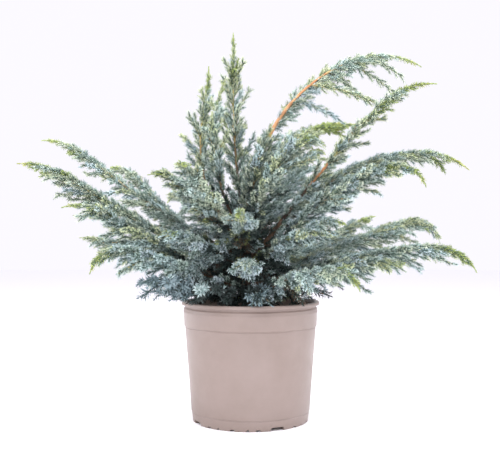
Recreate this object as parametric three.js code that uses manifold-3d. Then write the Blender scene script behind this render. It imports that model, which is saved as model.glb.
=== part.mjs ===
// A potted meyeri flaky juniper: a taupe nursery pot, the soil in it, and a young spreading shrub
// whose limbs arch out of one short stem. Millimetres, +Z up. The origin is the centre of the pot's
// underside, +X points to the crown's longer side and -Y to the side that it is seen from.
import * as THREE from 'three';
import { mergeVertices } from 'three/addons/utils/BufferGeometryUtils.js';
import ManifoldModule from 'manifold-3d';

const wasm = await ManifoldModule();
wasm.setup();
const { Manifold, Mesh: SolidMesh } = wasm;

// Pot, as radii and heights of its turned outline
const pot = {
  height: 224, lipRadius: 130, lipHeight: 6.5,
  neckRadius: 123.4, neckHeight: 3.6, collarRadius: 126, collarBottom: 178,
  bodyTopRadius: 123.4, bodyLowRadius: 113.4, bodyLowHeight: 45,
  bandHeight: 19, bandRadius: 110.6, bandStep: 0.9, footRadius: 108.4, footInnerRadius: 96,
  padRadius: 34, padSlope: 2, recessHeight: 3.5, floorTop: 9, floorCorner: 6,
  wall: 2.2, innerLipRadius: 121.6, edge: 1, stepHeight: 4, sides: 40,
};

// Notches in the pot's foot, repeated in each quarter turn: where they lie, and how wide and high
const quarters = 4;
const firstNotchHeading = -63.5;
const notchDepth = 30;
const notches = [
  { turn: 0, width: 27, height: 6.5 },
  { turn: 20.6, width: 8.6, height: 3.2 },
  { turn: 46, width: 8.6, height: 3.2 },
  { turn: 71, width: 8.6, height: 3.2 },
];

// Soil
const soilTop = 204;
const soilEdgeDrop = 4;
const soilFlatRadius = 40;

// Clearances
const touchGap = 0.3;
const spaceGap = 0.6;
const lowestFoliage = 213;

// Trunk: a short stem from the soil to its fork
const trunk = {
  top: 338, flareRadius: 20, flareHeight: 14, footRadius: 15.5, topRadius: 8,
  leanX: -0.03, leanY: 0.02, sides: 10, rows: 7, rowGrowth: 1.5,
};

// Limbs. Height is where the limb leaves the trunk. Heading is its compass direction in degrees
// from +X towards +Y, and veer how far that turns along it. Rise is its angle above level at the
// trunk, bend what is added evenly along it, nod what is added over its last third. Bare is the
// share of its length that is a bough; with no bare the foliage starts at the trunk. Hang leans its
// sprays to its underside, full is how long they are against the rule's, sparse how far apart they
// are, and droop how far they sink.
const limbs = [
  {
    name: 'leader_tall', height: 330, heading: 110, rise: 57, bend: 45, nod: -16,
    length: 436, bare: 0.15, full: 0.84,
  },
  {
    name: 'leader_left', height: 316, heading: 178, rise: 42, bend: 78, nod: -34,
    length: 378, bare: 0.18, full: 0.8,
  },
  {
    name: 'leader_middle', height: 333, heading: 214, veer: -20, rise: 49, bend: 62, nod: 4,
    length: 325, full: 0.7,
  },
  {
    name: 'right_arch', height: 338, heading: 22, rise: 95, bend: -101, nod: -19,
    length: 615, bare: 0.47, hang: 1.5, full: 1.15, sparse: 2.2, droop: 0.4,
  },
  {
    name: 'right_high', height: 292, heading: -20, rise: 53, bend: -10, nod: -56,
    length: 490, bare: 0.22, full: 0.5,
  },
  {
    name: 'right_middle', height: 268, heading: 10, rise: 66, bend: -76, nod: -30,
    length: 545, bare: 0.2, hang: -0.3, full: 0.74,
  },
  {
    name: 'right_droop', height: 255, heading: -36, veer: 10, rise: 54, bend: -40, nod: -91,
    length: 440, bare: 0.2, full: 0.72,
  },
  {
    name: 'right_lower', height: 247, heading: 28, rise: 21, bend: -5, nod: -97,
    length: 505, bare: 0.2, full: 0.9,
  },
  {
    name: 'right_long', height: 237, heading: -12, rise: 24, bend: -23, nod: -71,
    length: 445, bare: 0.2, hang: -0.2, full: 0.85,
  },
  {
    name: 'right_under', height: 224, heading: -32, rise: 25, bend: -18, nod: -32,
    length: 330, full: 0.85,
  },
  {
    name: 'right_nod', height: 235, heading: -62, veer: 8, rise: 18, bend: -14, nod: -70,
    length: 345, bare: 0.15, full: 0.75,
  },
  {
    name: 'left_high', height: 297, heading: 164, rise: 25, bend: 17, nod: -45,
    length: 505, bare: 0.2, full: 0.58,
  },
  {
    name: 'left_main', height: 262, heading: 187, rise: 24, bend: 15, nod: -46,
    length: 484, bare: 0.2, hang: 0.3, full: 0.85,
  },
  {
    name: 'left_middle', height: 249, heading: 205, rise: 21, bend: 14, nod: -55,
    length: 390, bare: 0.18, hang: 0.3,
  },
  { name: 'left_low', height: 238, heading: 172, rise: 26, bend: -15, nod: -11, length: 352 },
  {
    name: 'left_nod', height: 236, heading: 221, rise: 23, bend: -14, nod: -87,
    length: 375, bare: 0.18, full: 0.9,
  },
  {
    name: 'left_skirt', height: 229, heading: 240, veer: -10, rise: 10, bend: 2, nod: -34,
    length: 315, hang: 0.4, full: 1.15,
  },
  {
    name: 'left_inner', height: 304, heading: 208, rise: 43, bend: 3, nod: -82,
    length: 265, hang: -0.2, full: 0.8,
  },
  { name: 'left_upright', height: 312, heading: 244, rise: 27, bend: 17, nod: -63, length: 315 },
  {
    name: 'left_second', height: 280, heading: 146, rise: 19, bend: 36, nod: -80,
    length: 430, bare: 0.2, hang: -0.3, full: 0.72,
  },
  {
    name: 'right_inner', height: 330, heading: -101, veer: 101, rise: 68, bend: 6, nod: -10,
    length: 240, full: 1.05,
  },
  { name: 'right_back', height: 290, heading: 44, rise: 3, bend: 28, nod: -28, length: 400, bare: 0.2 },
  {
    name: 'arch_yellow', height: 312, heading: 90, veer: -70, rise: 63, bend: -57, nod: -14,
    length: 540, bare: 0.2,
  },
  {
    name: 'arch_inner', height: 303, heading: -90, veer: 100, rise: 63, bend: -14, nod: -122,
    length: 310, hang: 0.4,
  },
  { name: 'front_high', height: 303, heading: -95, rise: 36, bend: -22, nod: -50, length: 235 },
  { name: 'front_left', height: 278, heading: -130, rise: 24, bend: -6, nod: -50, length: 250 },
  { name: 'front_middle', height: 264, heading: -92, rise: 16, bend: -8, nod: -60, length: 225 },
  { name: 'front_right', height: 284, heading: -50, rise: 28, bend: -10, nod: -50, length: 270 },
  { name: 'front_low', height: 244, heading: -84, rise: 6, bend: -12, nod: -40, length: 190 },
  { name: 'skirt_left', height: 220, heading: -152, rise: 13, bend: -6, nod: -20, length: 196 },
  { name: 'skirt_right', height: 218, heading: -38, rise: 16, bend: -8, nod: -26, length: 180, full: 1.1 },
  { name: 'back_right', height: 296, heading: 60, rise: 49, bend: -20, nod: -50, length: 425, bare: 0.18 },
  { name: 'back_middle', height: 304, heading: 92, rise: 40, bend: -28, nod: -60, length: 390, bare: 0.18 },
  { name: 'back_left', height: 290, heading: 120, rise: 34, bend: -18, nod: -60, length: 410, bare: 0.18 },
  { name: 'back_low_right', height: 252, heading: 62, rise: 20, bend: -12, nod: -50, length: 360 },
  { name: 'back_low_left', height: 256, heading: 138, rise: 22, bend: -14, nod: -50, length: 350 },
  { name: 'back_low', height: 238, heading: 100, rise: 22, bend: -14, nod: -50, length: 350 },
];

// How every limb is worked out from its own values
const limbSteps = 24;
const nodStart = 0.7;
const limbRadius = { base: 2, perLength: 0.0056, taper: 0.84, power: 0.85 };
const boughSides = 5;
const stemSides = 3;
const segmentLength = 48;

// Sprays of needles: spacing along the limb, spread from it, size, and how their teeth lie
const spray = {
  spacing: 21.3, firstFromTrunk: 22, firstFromBough: 8, lastShare: 0.87,
  turn: 137.5, spreadBase: 52, spreadTip: 26, spreadJitter: 6,
  longest: 112, lengthShare: 0.27, tipShare: 0.42, tipLength: 8, lengthJitter: 0.16,
  slimness: 0.17, sides: 3,
  curl: 0.2, droop: 0.16, upperShare: 0.35, sizes: [1, 0.8, 0.64, 0.5], longFrom: 82,
};
const tipSpray = { share: 0.16, longest: 70, radius: 7, cover: 1.3, sunk: 4 };

// The needles that clothe a mass's own stem thicken it, fully once it is clear of the trunk and
// then less and less towards the tip
const clothing = { from: 7, to: 1.5, clearOfTrunk: 80 };

// Teeth, as shares of the spray's length and radius: each tooth swells, then steps in behind its points
const teeth = {
  short: [[0.45, 1], [0.41, 0.6]],
  long: [[0.4, 1], [0.37, 0.55], [0.76, 0.66]],
};

// Where along a spray its room is tested, and the stretch where it may be at its widest
const roomShares = [0.12, 0.24, 0.36, 0.48, 0.6, 0.72, 0.84, 1];
const widest = { from: 0.4, to: 0.72 };

const firstSeed = 4100;
const seedStep = 97;

// Closer points than this are one point of a surface
const weldDistance = 1e-4;

const degrees = Math.PI / 180;

const looks = {
  pot: { color: 0xb5a59b, roughness: 0.55, metalness: 0 },
  soil: { color: 0x3a2c22, roughness: 1, metalness: 0 },
  bark: { color: 0x8a5a36, roughness: 0.85, metalness: 0 },
  foliage: { color: 0x86a396, roughness: 0.7, metalness: 0 },
};

// The same numbers in the same order each time for one seed
function randomFrom(seed) {
  const factor = 48271;
  const range = 2147483647;
  let state = seed;
  return () => {
    state = (state * factor) % range;
    return state / range;
  };
}

// One closed solid of a geometry, with its faces outwards
function toSolid(geometry) {
  const bare = new THREE.BufferGeometry();
  bare.setAttribute('position', geometry.getAttribute('position'));
  bare.setIndex(geometry.getIndex());
  const merged = mergeVertices(bare, weldDistance);
  const index = merged.getIndex().array;
  const kept = [];
  for (let i = 0; i < index.length; i += 3) {
    const [a, b, c] = [index[i], index[i + 1], index[i + 2]];
    if (a !== b && b !== c && c !== a) kept.push(a, b, c);
  }
  const vertProperties = new Float32Array(merged.getAttribute('position').array);
  const fromFaces = (faces) => new Manifold(
    new SolidMesh({ numProp: 3, vertProperties, triVerts: new Uint32Array(faces) }));
  const solid = fromFaces(kept);
  return solid.volume() > 0 ? solid : fromFaces(kept.reverse());
}

function toGeometry(solid) {
  const mesh = solid.getMesh();
  const geometry = new THREE.BufferGeometry();
  geometry.setAttribute('position', new THREE.BufferAttribute(Float32Array.from(mesh.vertProperties), 3));
  geometry.setIndex(Array.from(mesh.triVerts));
  geometry.computeVertexNormals();
  return geometry;
}

// One body: loose scraps and sealed hollows are dropped
function largestPiece(solid) {
  return solid.decompose().reduce((best, piece) => (piece.volume() > best.volume() ? piece : best));
}

function turned(outline, sides) {
  const points = outline.map(([radius, height]) => new THREE.Vector2(radius, height));
  const lathe = new THREE.LatheGeometry(points, sides);
  return toSolid(lathe.rotateX(Math.PI / 2));
}

// The angles of a limb at a share of its length, and the frame that they give
function frameAt(limb, share) {
  const late = Math.max(0, (share - nodStart) / (1 - nodStart));
  const rise = (limb.rise + limb.bend * share + limb.nod * late * late) * degrees;
  const heading = (limb.heading + (limb.veer ?? 0) * share) * degrees;
  const along = new THREE.Vector3(
    Math.cos(rise) * Math.cos(heading), Math.cos(rise) * Math.sin(heading), Math.sin(rise));
  const across = new THREE.Vector3(-Math.sin(heading), Math.cos(heading), 0);
  return { along, across, under: new THREE.Vector3().crossVectors(across, along) };
}

function trunkAxis(height) {
  const climb = height - soilTop;
  return new THREE.Vector3(trunk.leanX * climb, trunk.leanY * climb, height);
}

function trunkRadius(height) {
  const climb = (height - soilTop) / (trunk.top - soilTop);
  const flare = Math.max(0, 1 - (height - soilTop) / trunk.flareHeight);
  const plain = trunk.footRadius + (trunk.topRadius - trunk.footRadius) * climb;
  return plain + (trunk.flareRadius - trunk.footRadius) * flare * flare;
}

function limbLine(limb) {
  const points = [trunkAxis(limb.height)];
  for (let i = 0; i < limbSteps; i++) {
    const { along } = frameAt(limb, (i + 0.5) / limbSteps);
    points.push(points[i].clone().addScaledVector(along, limb.length / limbSteps));
  }
  return points;
}

function placeAt(limb, share) {
  const at = share * limbSteps;
  const i = Math.min(limbSteps - 1, Math.floor(at));
  const point = limb.line[i].clone().lerp(limb.line[i + 1], at - i);
  return { point, ...frameAt(limb, share) };
}

function radiusAt(limb, share) {
  const root = limbRadius.base + limbRadius.perLength * limb.length;
  return root * (1 - limbRadius.taper * share ** limbRadius.power);
}

function stemRadius(limb, share) {
  const clothed = clothing.from + (clothing.to - clothing.from) * share;
  return radiusAt(limb, share) + clothed * Math.min(1, share * limb.length / clothing.clearOfTrunk);
}

// A closed cylinder bent along a limb between two shares of its length
function limbTube(limb, from, to, sides, radiusOf) {
  const rows = Math.max(2, Math.round((to - from) * limb.length / segmentLength));
  const tube = new THREE.CylinderGeometry(1, 1, 1, sides, rows);
  const position = tube.getAttribute('position');
  for (let i = 0; i < position.count; i++) {
    const share = from + (to - from) * (position.getY(i) + 0.5);
    const { point, across, under } = placeAt(limb, share);
    const radius = radiusOf(limb, share);
    point.addScaledVector(across, position.getX(i) * radius);
    point.addScaledVector(under, position.getZ(i) * radius);
    position.setXYZ(i, point.x, point.y, point.z);
  }
  return toSolid(tube);
}

function trunkSolid(grow = 0) {
  const stem = new THREE.CylinderGeometry(1, 1, 1, trunk.sides, trunk.rows);
  const position = stem.getAttribute('position');
  const bottom = soilTop + touchGap - grow;
  for (let i = 0; i < position.count; i++) {
    const climb = (position.getY(i) + 0.5) ** trunk.rowGrowth;
    const height = bottom + (trunk.top + grow - bottom) * climb;
    const centre = trunkAxis(height);
    const radius = trunkRadius(Math.min(trunk.top, height)) + grow;
    position.setXYZ(i, centre.x + position.getX(i) * radius, centre.y - position.getZ(i) * radius, height);
  }
  return toSolid(stem);
}

const segment = new THREE.Line3();
const nearest = new THREE.Vector3();

// How far a point is from a limb, and the share of the limb's length that it is nearest to
function fromLimb(point, limb) {
  const best = { distance: Infinity, share: 0 };
  for (let i = 0; i < limbSteps; i++) {
    segment.set(limb.line[i], limb.line[i + 1]);
    const part = segment.closestPointToPointParameter(point, true);
    const distance = segment.at(part, nearest).distanceTo(point);
    if (distance < best.distance) Object.assign(best, { distance, share: (i + part) / limbSteps });
  }
  return best;
}

// A spray's outline: root, teeth and point, as [radius, height] pairs
function sprayOutline({ length, radius, rootRadius }) {
  const root = rootRadius ? [[0, 0], [rootRadius, 0]] : [[0, 0]];
  const rings = length > spray.longFrom ? teeth.long : teeth.short;
  return [...root, ...rings.map(([share, width]) => [radius * width, length * share]), [0, length]];
}

// Where a height on a spray's own axis lies in the plant
function sprayPoint(shape, height) {
  const bent = height * height / shape.length;
  return shape.root.clone().addScaledVector(shape.direction, height).addScaledVector(shape.curl, bent);
}

function spraySolid(shape) {
  const outline = sprayOutline(shape).map(([radius, height]) => new THREE.Vector2(radius, height));
  const lathe = new THREE.LatheGeometry(outline, spray.sides, shape.roll);
  const across = new THREE.Vector3(0, 0, 1).cross(shape.direction).normalize();
  const under = across.clone().cross(shape.direction);
  const position = lathe.getAttribute('position');
  for (let i = 0; i < position.count; i++) {
    const point = sprayPoint(shape, position.getY(i));
    point.addScaledVector(across, position.getX(i)).addScaledVector(under, position.getZ(i));
    position.setXYZ(i, point.x, point.y, point.z);
  }
  return toSolid(lathe);
}

// A spray may grow only in its own limb's space: clear of the pot, soil and trunk, and nearer to
// its own limb than to any other by more than its width
function hasRoom(shape, limb) {
  return roomShares.every((share) => {
    const radius = shape.radius * Math.min(share / widest.from, 1, (1 - share) / (1 - widest.to));
    const point = sprayPoint(shape, share * shape.length);
    const across = Math.hypot(point.x, point.y);
    if (point.z - radius < lowestFoliage) return false;
    const besideLip = point.z - radius < pot.height + spaceGap;
    const insideLip = across + radius < pot.innerLipRadius - spaceGap;
    if (besideLip && !insideLip && across - radius < pot.lipRadius + spaceGap) return false;
    const stemHeight = Math.min(point.z, trunk.top);
    const fromTrunk = point.distanceTo(trunkAxis(stemHeight));
    if (fromTrunk < radius + trunkRadius(stemHeight) + spaceGap) return false;
    const own = fromLimb(point, limb).distance;
    return limbs.every((near) => {
      if (near === limb) return true;
      const { distance, share: there } = fromLimb(point, near);
      const thickness = Math.max(tipSpray.radius, stemRadius(near, there));
      return distance - own > 2 * radius + spaceGap && distance > radius + thickness + spaceGap;
    });
  });
}

// Sprays turn round the limb, closer to it and shorter towards its tip
function spraysOf(limb, seed) {
  const random = randomFrom(seed);
  const shapes = [];
  const firstAt = limb.bare ? limb.bare * limb.length + spray.firstFromBough : spray.firstFromTrunk;
  const firstShare = firstAt / limb.length;
  const spacing = spray.spacing * (limb.sparse ?? 1);
  const count = Math.round((spray.lastShare - firstShare) * limb.length / spacing);
  const startTurn = random() * 360;
  for (let k = 0; k < count; k++) {
    const share = firstShare + (spray.lastShare - firstShare) * k / count;
    const out = (share - firstShare) / (1 - firstShare);
    const turn = (startTurn + spray.turn * k) * degrees;
    const jitter = spray.spreadJitter * (2 * random() - 1);
    const spread = (spray.spreadBase + (spray.spreadTip - spray.spreadBase) * out + jitter) * degrees;
    const fullLength = Math.min(
      spray.longest, spray.lengthShare * limb.length,
      spray.tipShare * (1 - share) * limb.length + spray.tipLength);
    const swell = 1 + spray.lengthJitter * (2 * random() - 1);
    const length = fullLength * (limb.full ?? 1) * swell;
    const roll = random() * 2 * Math.PI;
    const { point, along, across, under } = placeAt(limb, share);
    const outward = across.multiplyScalar(Math.cos(turn))
      .addScaledVector(under, Math.sin(turn) + (limb.hang ?? 0)).normalize();
    const upper = 1 + (spray.upperShare - 1) * Math.max(0, outward.z);
    const open = spread * upper;
    const direction = along.clone().multiplyScalar(Math.cos(open)).addScaledVector(outward, Math.sin(open));
    const curl = along.multiplyScalar(spray.curl).add(new THREE.Vector3(0, 0, -(limb.droop ?? spray.droop)));
    const fitting = spray.sizes
      .map((size) => length * size * upper)
      .map((size) => ({ root: point, direction, curl, roll, length: size, radius: size * spray.slimness }))
      .find((shape) => hasRoom(shape, limb));
    if (fitting) shapes.push(fitting);
  }
  return shapes;
}

function endLength(limb) {
  return Math.min(tipSpray.longest, tipSpray.share * limb.length);
}

// The share of a limb where its own stem ends, sunk in the spray that carries it to its tip
function stemEnd(limb) {
  return 1 - (endLength(limb) - tipSpray.sunk) / limb.length;
}

function endSpray(limb) {
  const length = endLength(limb);
  const { point, along } = placeAt(limb, 1 - length / limb.length);
  const tip = limb.line[limbSteps];
  const curl = tip.clone().sub(point).addScaledVector(along, -length).divideScalar(length);
  const rootRadius = stemRadius(limb, 1 - length / limb.length) + tipSpray.cover;
  return { root: point, direction: along, curl, roll: 0, length, radius: tipSpray.radius, rootRadius };
}

// A mass: one stem from its bough's tip or the trunk, with its sprays fused on
function massSolid(limb, seed) {
  const start = limb.bare ? limb.bare + touchGap / limb.length : 0;
  const stem = limbTube(limb, start, stemEnd(limb), stemSides, stemRadius);
  const shapes = [...spraysOf(limb, seed), endSpray(limb)];
  return Manifold.union([stem, ...shapes.map(spraySolid)]);
}

function potSolid() {
  const { edge, stepHeight, floorCorner } = pot;
  const lipBottom = pot.height - pot.lipHeight;
  const neckBottom = lipBottom - pot.neckHeight;
  const inner = (radius) => radius - pot.wall;
  const body = turned([
    [0, 0], [pot.padRadius, 0], [pot.padRadius + pot.padSlope, pot.recessHeight],
    [pot.footInnerRadius - pot.padSlope, pot.recessHeight],
    [pot.footInnerRadius, 0], [pot.footRadius, 0],
    [pot.bandRadius, pot.bandHeight], [pot.bandRadius + pot.bandStep, pot.bandHeight + edge],
    [pot.bodyLowRadius, pot.bodyLowHeight], [pot.bodyTopRadius, pot.collarBottom - 2 * edge],
    [pot.collarRadius - edge, pot.collarBottom + edge], [pot.collarRadius, neckBottom - 3 * edge],
    [pot.neckRadius, neckBottom], [pot.neckRadius, lipBottom],
    [pot.lipRadius, lipBottom + edge], [pot.lipRadius, pot.height - edge],
    [pot.lipRadius - edge, pot.height], [pot.innerLipRadius, pot.height],
    [inner(pot.neckRadius), lipBottom], [inner(pot.collarRadius - edge), neckBottom - 3 * edge],
    [inner(pot.collarRadius - edge), pot.collarBottom + stepHeight],
    [inner(pot.bodyTopRadius), pot.collarBottom - stepHeight],
    [inner(pot.bandRadius), pot.floorTop + floorCorner],
    [inner(pot.bandRadius) - floorCorner, pot.floorTop], [0, pot.floorTop],
  ], pot.sides);
  const cuts = [];
  for (let quarter = 0; quarter < quarters; quarter++) {
    for (const { turn, width, height } of notches) {
      const block = new THREE.BoxGeometry(notchDepth, width, 2 * height);
      block.translate((pot.footRadius + pot.footInnerRadius) / 2, 0, 0);
      block.rotateZ((firstNotchHeading + 360 * quarter / quarters + turn) * degrees);
      cuts.push(toSolid(block));
    }
  }
  return body.subtract(Manifold.union(cuts));
}

function soilSolid() {
  const inside = (radius) => radius - pot.wall - touchGap;
  return turned([
    [0, pot.floorTop + touchGap], [inside(pot.bandRadius) - pot.floorCorner, pot.floorTop + touchGap],
    [inside(pot.bandRadius), pot.floorTop + pot.floorCorner + touchGap],
    [inside(pot.bodyTopRadius), pot.collarBottom - pot.stepHeight + touchGap],
    [inside(pot.collarRadius - pot.edge), pot.collarBottom + pot.stepHeight + touchGap],
    [inside(pot.collarRadius - pot.edge), soilTop - soilEdgeDrop],
    [soilFlatRadius, soilTop], [0, soilTop],
  ], pot.sides);
}

const plant = new THREE.Group();

function addNode(name, solid, look) {
  const mesh = new THREE.Mesh(toGeometry(solid), new THREE.MeshStandardMaterial(looks[look]));
  mesh.name = name;
  plant.add(mesh);
}

limbs.forEach((limb) => {
  limb.line = limbLine(limb);
});

addNode('pot', potSolid(), 'pot');
addNode('soil', soilSolid(), 'soil');
addNode('trunk', trunkSolid(), 'bark');

// What is cut away round each limb, so that a later one beside it stays clear
function clearance(limb) {
  const around = (radiusOf) => (at, share) => radiusOf(at, share) + 2 * touchGap;
  const stem = limbTube(limb, limb.bare ?? 0, stemEnd(limb), stemSides, around(stemRadius));
  return limb.bare ? stem.add(limbTube(limb, 0, limb.bare, boughSides, around(radiusAt))) : stem;
}

function crossing(a, b) {
  const step = a.length / limbSteps;
  return a.line.some((point) => {
    const { distance, share } = fromLimb(point, b);
    return distance < stemRadius(a, 0) + clothing.from + stemRadius(b, share) + step;
  });
}

// Limbs are cut clear of the trunk, and where two leave it side by side, of the earlier one
const grownTrunk = trunkSolid(touchGap);

function cutClear(solid, limb, earlier) {
  let result = solid.subtract(grownTrunk);
  for (const other of earlier.filter((near) => crossing(limb, near))) {
    result = result.subtract(clearance(other));
  }
  return largestPiece(result);
}

const withBoughs = limbs.filter((limb) => limb.bare);
withBoughs.forEach((limb, i) => {
  const bough = limbTube(limb, 0, limb.bare, boughSides, radiusAt);
  addNode(`bough_${limb.name}`, cutClear(bough, limb, withBoughs.slice(0, i)), 'bark');
});

const cutFirst = [...withBoughs, ...limbs.filter((limb) => !limb.bare)];
cutFirst.forEach((limb, i) => {
  const mass = massSolid(limb, firstSeed + limbs.indexOf(limb) * seedStep);
  addNode(`mass_${limb.name}`, cutClear(mass, limb, cutFirst.slice(0, i)), 'foliage');
});

export default plant;
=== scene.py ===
# A potted flaky juniper: the shrub grown twig by twig by the part's own rule, in its pot of soil.
import math

import bmesh
import bpy
import numpy as np
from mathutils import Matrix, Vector, noise


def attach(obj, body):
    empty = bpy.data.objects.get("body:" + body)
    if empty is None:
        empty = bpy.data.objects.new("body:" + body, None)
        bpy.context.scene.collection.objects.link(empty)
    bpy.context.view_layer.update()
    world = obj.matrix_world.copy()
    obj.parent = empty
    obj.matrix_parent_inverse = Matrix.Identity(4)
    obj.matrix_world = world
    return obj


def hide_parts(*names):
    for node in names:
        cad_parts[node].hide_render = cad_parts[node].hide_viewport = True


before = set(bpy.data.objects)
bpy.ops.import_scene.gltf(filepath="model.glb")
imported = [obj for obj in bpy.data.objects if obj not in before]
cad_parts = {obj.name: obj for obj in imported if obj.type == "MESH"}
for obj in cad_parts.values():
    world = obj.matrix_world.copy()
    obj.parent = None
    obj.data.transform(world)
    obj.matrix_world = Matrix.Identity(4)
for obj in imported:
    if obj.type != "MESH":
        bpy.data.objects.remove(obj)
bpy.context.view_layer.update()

mm = 0.001    # growing and turning are worked out in millimetres, meshes are in metres
upward = np.array([0.0, 0.0, 1.0])


# Shared helpers: colours, meshes, tubes and shader groups

def rgba(shade):
    parts = np.array(shade) / 255
    linear = np.where(parts < 0.04, parts / 12.92, ((parts + 0.055) / 1.055) ** 2.4)
    return (*[float(part) for part in linear], 1)


def plainLook(name, shade, roughness, specular):
    look = bpy.data.materials.new(name)
    look.use_nodes = True
    surface = look.node_tree.nodes["Principled BSDF"]
    surface.inputs["Base Color"].default_value = rgba(shade)
    surface.inputs["Roughness"].default_value = roughness
    surface.inputs["Specular IOR Level"].default_value = specular
    return look


# points is (n, 3) in mm, faces (m, corners), and lookOf the number of each face's look
def meshPiece(name, points, faces, looks, lookOf=None, smooth=True):
    mesh = bpy.data.meshes.new(name)
    mesh.vertices.add(len(points))
    mesh.vertices.foreach_set("co", (points * mm).astype(np.float32).ravel())
    mesh.loops.add(faces.size)
    mesh.loops.foreach_set("vertex_index", faces.astype(np.int32).ravel())
    mesh.polygons.add(len(faces))
    mesh.polygons.foreach_set("loop_start", np.arange(0, faces.size, faces.shape[1], dtype=np.int32))
    mesh.polygons.foreach_set("use_smooth", np.full(len(faces), smooth))
    if lookOf is not None:
        mesh.polygons.foreach_set("material_index", lookOf.astype(np.int32))
    mesh.update(calc_edges=True)
    for look in looks:
        mesh.materials.append(look)
    piece = bpy.data.objects.new(name, mesh)
    bpy.context.scene.collection.objects.link(piece)
    return piece


def joined(parts):
    points, faces, lookOf, first = [], [], [], 0
    for partPoints, partFaces, partLooks in parts:
        points.append(partPoints)
        faces.append(partFaces + first)
        lookOf.append(partLooks)
        first += len(partPoints)
    return np.concatenate(points), np.concatenate(faces), np.concatenate(lookOf)


def unit(vectors):
    return vectors / np.maximum(np.linalg.norm(vectors, axis=-1, keepdims=True), 1e-9)


# Two directions square to each of these
def besides(along):
    across = unit(np.cross(upward, along) + np.array([1e-6, 0, 0]))
    return across, np.cross(across, along)


# The angles of a ring's corners
def around(sides):
    return np.arange(sides) * 2 * math.pi / sides


# The first direction, turned towards the second
def turnedTo(first, second, angle):
    return first * np.cos(angle) + second * np.sin(angle)


# Two neighbouring corners of each face round a tube, and the same ones a row on are + sides
def ringCorners(rows, sides):
    row, side = np.meshgrid(np.arange(rows - 1), np.arange(sides), indexing="ij")
    return (row * sides + side).ravel(), (row * sides + (side + 1) % sides).ravel()


def wallFaces(rows, sides):
    a, b = ringCorners(rows, sides)
    return np.concatenate([np.stack([a, a + sides, b + sides], -1), np.stack([a, b + sides, b], -1)])


# A tube with closed ends through rings of the given centres. radii is (rows,) or (rows, sides).
def tube(centres, across, under, radii, sides):
    rows = len(centres)
    turn = around(sides)
    radii = np.broadcast_to(radii.reshape(rows, -1), (rows, sides))[..., None]
    rings = (centres[:, None] + across[:, None] * np.cos(turn)[:, None] * radii
             + under[:, None] * np.sin(turn)[:, None] * radii)
    points = np.concatenate([rings.reshape(-1, 3), centres[:1], centres[-1:]])
    side = np.arange(sides)
    beside = (side + 1) % sides
    foot = np.stack([side, beside, np.full(sides, rows * sides)], -1)
    last = (rows - 1) * sides
    head = np.stack([last + beside, last + side, np.full(sides, rows * sides + 1)], -1)
    return points, np.concatenate([wallFaces(rows, sides), foot, head])


# Two shades mixed by noise in the object's own space, with relief from the same noise
def mottleGroup():
    group = bpy.data.node_groups.new("mottle", "ShaderNodeTree")
    for side, kind, labels in (
            ("INPUT", "Color", ("Dark", "Light")), ("INPUT", "Vector", ("Stretch",)),
            ("INPUT", "Float", ("Scale", "Relief", "Depth", "Dry")), ("OUTPUT", "Color", ("Color",)),
            ("OUTPUT", "Float", ("Roughness",)), ("OUTPUT", "Vector", ("Normal",))):
        for label in labels:
            group.interface.new_socket(label, in_out=side, socket_type=f"NodeSocket{kind}")
    given, result = group.nodes.new("NodeGroupInput"), group.nodes.new("NodeGroupOutput")
    place, stretched, grain, spread, shade, dryness, bump = [
        group.nodes.new(f"ShaderNode{kind}")
        for kind in ("TexCoord", "VectorMath", "TexNoise", "MapRange", "Mix", "Math", "Bump")]
    stretched.operation = "MULTIPLY"
    grain.inputs["Detail"].default_value = 5
    grain.inputs["Roughness"].default_value = 0.6
    spread.inputs["From Min"].default_value = 0.32
    spread.inputs["From Max"].default_value = 0.68
    shade.data_type = "RGBA"
    dryness.operation = "MULTIPLY_ADD"    # the light shade is a little smoother
    dryness.inputs[1].default_value = -0.12
    for giver, output, taker, socket in (
            (place, "Object", stretched, 0), (given, "Stretch", stretched, 1),
            (stretched, 0, grain, "Vector"), (given, "Scale", grain, "Scale"),
            (grain, "Fac", spread, "Value"), (spread, "Result", shade, "Factor"),
            (given, "Dark", shade, "A"), (given, "Light", shade, "B"),
            (spread, "Result", dryness, 0), (given, "Dry", dryness, 2), (grain, "Fac", bump, "Height"),
            (given, "Relief", bump, "Strength"), (given, "Depth", bump, "Distance"),
            (shade, "Result", result, "Color"), (dryness, 0, result, "Roughness"),
            (bump, "Normal", result, "Normal")):
        group.links.new(giver.outputs[output], taker.inputs[socket])
    return group


mottle = mottleGroup()


def mottledLook(name, dark, light, values, specular):
    look = plainLook(name, dark, values["Dry"], specular)
    tree = look.node_tree
    pattern = tree.nodes.new("ShaderNodeGroup")
    pattern.node_tree = mottle
    given = {"Dark": rgba(dark), "Light": rgba(light), "Stretch": (1, 1, 1), **values}
    for label, value in given.items():
        pattern.inputs[label].default_value = value
    for output, socket in (("Color", "Base Color"), ("Normal", "Normal"), ("Roughness", "Roughness")):
        tree.links.new(pattern.outputs[output], tree.nodes["Principled BSDF"].inputs[socket])
    return look


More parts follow.
